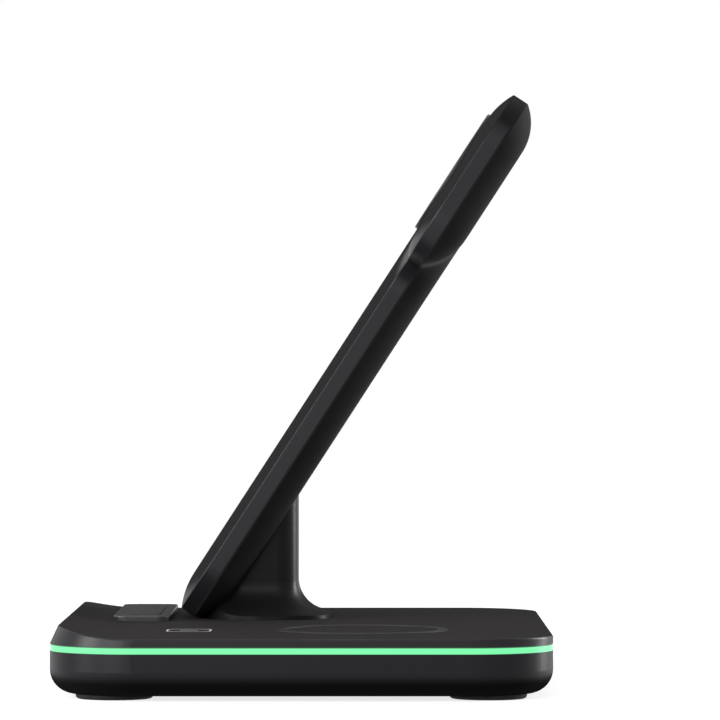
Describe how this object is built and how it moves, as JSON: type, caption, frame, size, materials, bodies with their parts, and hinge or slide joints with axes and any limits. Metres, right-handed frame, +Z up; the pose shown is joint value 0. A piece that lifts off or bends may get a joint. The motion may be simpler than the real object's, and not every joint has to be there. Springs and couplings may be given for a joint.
{
  "type": "three in one wireless charger",
  "caption": "Tilted charging arm on a lit rounded base, with a side wing for a smart watch, a ledge for a phone and a flat place for an earbud case.",
  "frame": {"origin": "centre of the base's footprint, at the underside of the feet", "axes": "+Z up, -Y to the front, where the phone's screen faces, +X towards the watch wing's end"},
  "size_m": [0.148, 0.1138, 0.1365],
  "materials": {
    "base_black": "fine matte moulded",
    "cover_black": "soft matte coat",
    "arm_black": "soft matte coat",
    "light_guide": "translucent, lit mint green",
    "rubber_black": "matte",
    "puck_black": "satin",
    "bezel_dark": "satin",
    "lamp_white": "glossy",
    "flex_white": "satin",
    "board_green": "satin",
    "chip_black": "matte",
    "inner_plastic": "matte",
    "copper": "enamelled",
    "ferrite": "matte",
    "steel": "satin"
  },
  "bodies": {
    "root": {"base_tray": "base_black", "base_cover": "cover_black", "phone_ledge": "cover_black", "arm_back_shell": "arm_black", "arm_front_cover": "arm_black", "support_post": "arm_black", "light_ring": "light_guide", "foot_1": "rubber_black", "foot_2": "rubber_black", "foot_3": "rubber_black", "foot_4": "rubber_black", "earbud_grip": "rubber_black", "ledge_cushion": "rubber_black", "watch_puck": "puck_black", "watch_bezel": "bezel_dark", "led_chips": "lamp_white", "led_flex": "flex_white", "main_board": "board_green", "arm_board": "board_green", "control_chips": "chip_black", "arm_chips": "chip_black", "power_inductors": "chip_black", "usb_tongue": "inner_plastic", "lead_connector": "inner_plastic", "earbud_carrier": "inner_plastic", "coil_carrier": "inner_plastic", "watch_holder": "inner_plastic", "arm_lead": "inner_plastic", "earbud_coil": "copper", "phone_coil_lower": "copper", "phone_coil_upper": "copper", "watch_coil": "copper", "earbud_ferrite": "ferrite", "phone_ferrite": "ferrite", "watch_ferrite": "ferrite", "usb_shell": "steel", "ballast_plate": "steel", "watch_magnet": "steel", "base_screws": "steel", "board_screws": "steel", "post_screws": "steel", "arm_screws": "steel"}
  },
  "joints": []
}
